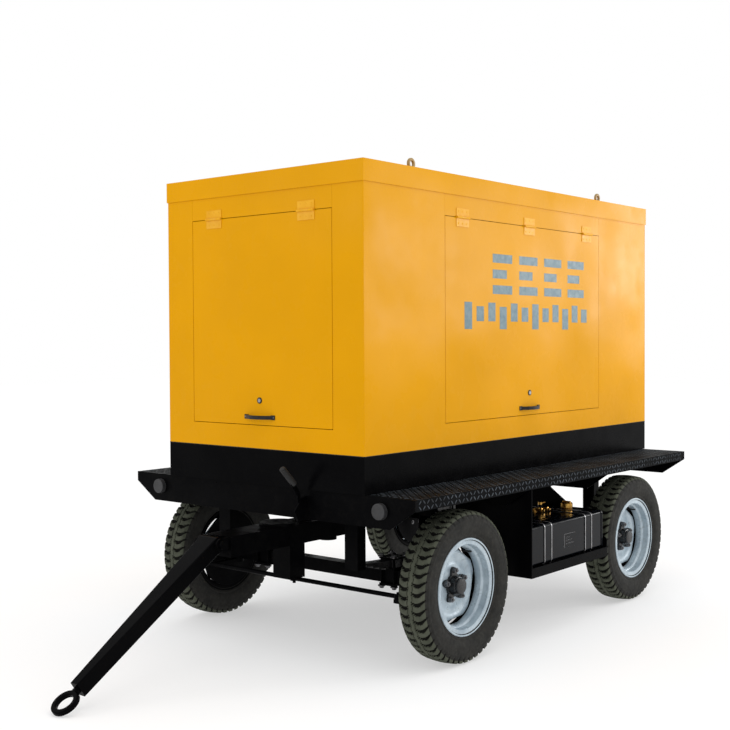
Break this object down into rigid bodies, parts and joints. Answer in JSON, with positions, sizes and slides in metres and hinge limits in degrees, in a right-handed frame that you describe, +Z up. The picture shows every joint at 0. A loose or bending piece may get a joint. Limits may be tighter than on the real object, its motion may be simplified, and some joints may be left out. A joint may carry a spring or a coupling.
{
  "type": "towable diesel generator",
  "caption": "Box-shaped generating set in a steel canopy on a drawbar trailer with sprung axles, steered front wheels, side walkways and an under-slung fuel tank.",
  "frame": {"origin": "on the ground, under the middle of the box round the whole trailer with its drawbar lowered", "axes": "+Z up, -Y the towing direction, +X the trailer's left side"},
  "size_m": [1.862, 3.9651, 2.392],
  "materials": {
    "yellow_paint": "satin",
    "black_paint": "gloss",
    "deck_plate": "worn",
    "tyre_rubber": "matte",
    "rim_paint": "satin",
    "hub_iron": "gloss",
    "bright_steel": "brushed",
    "spring_steel": "satin",
    "brass": "satin",
    "engine_iron": "satin",
    "alternator_paint": "satin",
    "radiator_core": "matte",
    "black_plastic": "matte",
    "red_plastic": "gloss",
    "rubber": "matte",
    "exhaust_steel": "matte",
    "panel_grey": "satin",
    "lamp_lens": "gloss"
  },
  "bodies": {
    "trailer": {"chassis_frame": "black_paint", "deck_left": "deck_plate", "deck_right": "deck_plate", "base_frame": "black_paint", "canopy_shell": "yellow_paint", "roof_lid": "yellow_paint", "lifting_eyes": "bright_steel", "door_hinge_frames": "black_paint", "rear_grille": "yellow_paint", "engine": "engine_iron", "engine_mounts": "rubber", "alternator": "alternator_paint", "fan_belt": "rubber", "radiator": "radiator_core", "air_cleaner": "black_plastic", "muffler": "exhaust_steel", "battery": "black_plastic", "control_box": "panel_grey", "fuel_tank": "black_paint", "tank_tray": "black_paint", "front_axle": "black_paint", "rear_axle": "black_paint", "leaf_springs": "spring_steel", "spring_fittings": "black_paint", "marker_lamps": "lamp_lens"},
    "tongue": {"steering_tongue": "black_paint"},
    "drawbar_arm": {"drawbar": "black_paint", "towing_eye": "black_paint"},
    "left_knuckle": {"knuckle_left": "black_paint"},
    "right_knuckle": {"knuckle_right": "black_paint"},
    "track_rod": {"tie_rod": "black_paint"},
    "wheel_front_left": {"tyre_front_left": "tyre_rubber", "rim_front_left": "rim_paint", "hub_front_left": "hub_iron"},
    "wheel_front_right": {"tyre_front_right": "tyre_rubber", "rim_front_right": "rim_paint", "hub_front_right": "hub_iron"},
    "wheel_rear_left": {"tyre_rear_left": "tyre_rubber", "rim_rear_left": "rim_paint", "hub_rear_left": "hub_iron"},
    "wheel_rear_right": {"tyre_rear_right": "tyre_rubber", "rim_rear_right": "rim_paint", "hub_rear_right": "hub_iron"},
    "front_door_leaf": {"front_door": "yellow_paint", "front_door_fittings": "black_paint"},
    "front_door_lock": {"front_lock": "bright_steel"},
    "left_door_leaf": {"left_door": "yellow_paint", "left_door_fittings": "black_paint"},
    "left_door_lock": {"left_lock": "bright_steel"},
    "right_door_leaf": {"right_door": "yellow_paint", "right_door_fittings": "black_paint"},
    "right_door_lock": {"right_lock": "bright_steel"},
    "shaft": {"rotor_shaft": "bright_steel"},
    "fan": {"cooling_fan": "black_plastic"},
    "tank_cap": {"fuel_cap": "brass"},
    "fuel_cock": {"fuel_cock_lever": "brass"},
    "stop_button": {"estop_button": "red_plastic"},
    "ignition_key": {"key_switch": "bright_steel"},
    "breaker": {"breaker_toggle": "black_plastic"},
    "brake_lever": {"handbrake_lever": "black_paint"}
  },
  "joints": [
    {"name": "steer_yaw", "type": "hinge", "parent": "trailer", "child": "tongue", "pos_m": [0, -0.30344, 0.36], "axis": [0, 0, 1], "range_deg": [-30, 30]},
    {"name": "left_knuckle_yaw", "type": "hinge", "parent": "trailer", "child": "left_knuckle", "pos_m": [0.66, -0.30344, 0.36], "axis": [0, 0, 1], "range_deg": [-30, 30]},
    {"name": "right_knuckle_yaw", "type": "hinge", "parent": "trailer", "child": "right_knuckle", "pos_m": [-0.66, -0.30344, 0.36], "axis": [0, 0, 1], "range_deg": [-30, 30]},
    {"name": "track_rod_swing", "type": "hinge", "parent": "tongue", "child": "track_rod", "pos_m": [0, -0.55844, 0.331], "axis": [0, 0, 1], "range_deg": [-30, 30]},
    {"name": "drawbar_pitch", "type": "hinge", "parent": "tongue", "child": "drawbar_arm", "pos_m": [0, -1.11744, 0.585], "axis": [-1, 0, 0], "range_deg": [0, 90]},
    {"name": "front_left_wheel_spin", "type": "hinge", "parent": "left_knuckle", "child": "wheel_front_left", "pos_m": [0.804, -0.30344, 0.36], "axis": [1, 0, 0], "continuous": true},
    {"name": "front_right_wheel_spin", "type": "hinge", "parent": "right_knuckle", "child": "wheel_front_right", "pos_m": [-0.804, -0.30344, 0.36], "axis": [1, 0, 0], "continuous": true},
    {"name": "rear_left_wheel_spin", "type": "hinge", "parent": "trailer", "child": "wheel_rear_left", "pos_m": [0.804, 1.40256, 0.36], "axis": [1, 0, 0], "continuous": true},
    {"name": "rear_right_wheel_spin", "type": "hinge", "parent": "trailer", "child": "wheel_rear_right", "pos_m": [-0.804, 1.40256, 0.36], "axis": [1, 0, 0], "continuous": true},
    {"name": "front_door_swing", "type": "hinge", "parent": "trailer", "child": "front_door_leaf", "pos_m": [0, -0.79944, 2.1235], "axis": [-1, 0, 0], "range_deg": [0, 90]},
    {"name": "left_door_swing", "type": "hinge", "parent": "trailer", "child": "left_door_leaf", "pos_m": [0.662, 0.60256, 2.1235], "axis": [0, -1, 0], "range_deg": [0, 90]},
    {"name": "right_door_swing", "type": "hinge", "parent": "trailer", "child": "right_door_leaf", "pos_m": [-0.662, 0.60256, 2.1235], "axis": [0, 1, 0], "range_deg": [0, 90]},
    {"name": "front_lock_turn", "type": "hinge", "parent": "front_door_leaf", "child": "front_door_lock", "pos_m": [0, -0.79244, 1.231], "axis": [0, -1, 0], "range_deg": [-90, 0]},
    {"name": "left_lock_turn", "type": "hinge", "parent": "left_door_leaf", "child": "left_door_lock", "pos_m": [0.655, 0.60256, 1.231], "axis": [1, 0, 0], "range_deg": [-90, 0]},
    {"name": "right_lock_turn", "type": "hinge", "parent": "right_door_leaf", "child": "right_door_lock", "pos_m": [-0.655, 0.60256, 1.231], "axis": [-1, 0, 0], "range_deg": [-90, 0]},
    {"name": "shaft_spin", "type": "hinge", "parent": "trailer", "child": "shaft", "pos_m": [0, 0.70756, 1.29], "axis": [0, 1, 0], "continuous": true},
    {"name": "fan_spin", "type": "hinge", "parent": "trailer", "child": "fan", "pos_m": [0, 1.55756, 1.59], "axis": [0, 1, 0], "continuous": true},
    {"name": "fuel_cap_lift", "type": "slide", "parent": "trailer", "child": "tank_cap", "axis": [0, 0, 1], "range_m": [0, 0.06]},
    {"name": "fuel_cock_turn", "type": "hinge", "parent": "trailer", "child": "fuel_cock", "pos_m": [0.64, 0.73556, 0.617], "axis": [0, 0, 1], "range_deg": [0, 90]},
    {"name": "stop_button_press", "type": "slide", "parent": "trailer", "child": "stop_button", "axis": [0, 1, 0], "range_m": [0, 0.006], "stiffness_N_per_m": 900},
    {"name": "key_turn", "type": "hinge", "parent": "trailer", "child": "ignition_key", "pos_m": [0.11, -0.66244, 1.5], "axis": [0, -1, 0], "range_deg": [0, 90]},
    {"name": "breaker_tilt", "type": "hinge", "parent": "trailer", "child": "breaker", "pos_m": [-0.17, -0.65044, 1.5], "axis": [1, 0, 0], "range_deg": [-20, 20]},
    {"name": "brake_lever_pull", "type": "hinge", "parent": "trailer", "child": "brake_lever", "pos_m": [0.283, -0.82244, 0.701], "axis": [1, 0, 0], "range_deg": [0, 35]}
  ],
  "couplings": [
    {"joint": "left_knuckle_yaw", "follows": "steer_yaw", "ratio": 1},
    {"joint": "right_knuckle_yaw", "follows": "steer_yaw", "ratio": 1},
    {"joint": "track_rod_swing", "follows": "steer_yaw", "ratio": -1},
    {"joint": "fan_spin", "follows": "shaft_spin", "ratio": 1.3333}
  ]
}
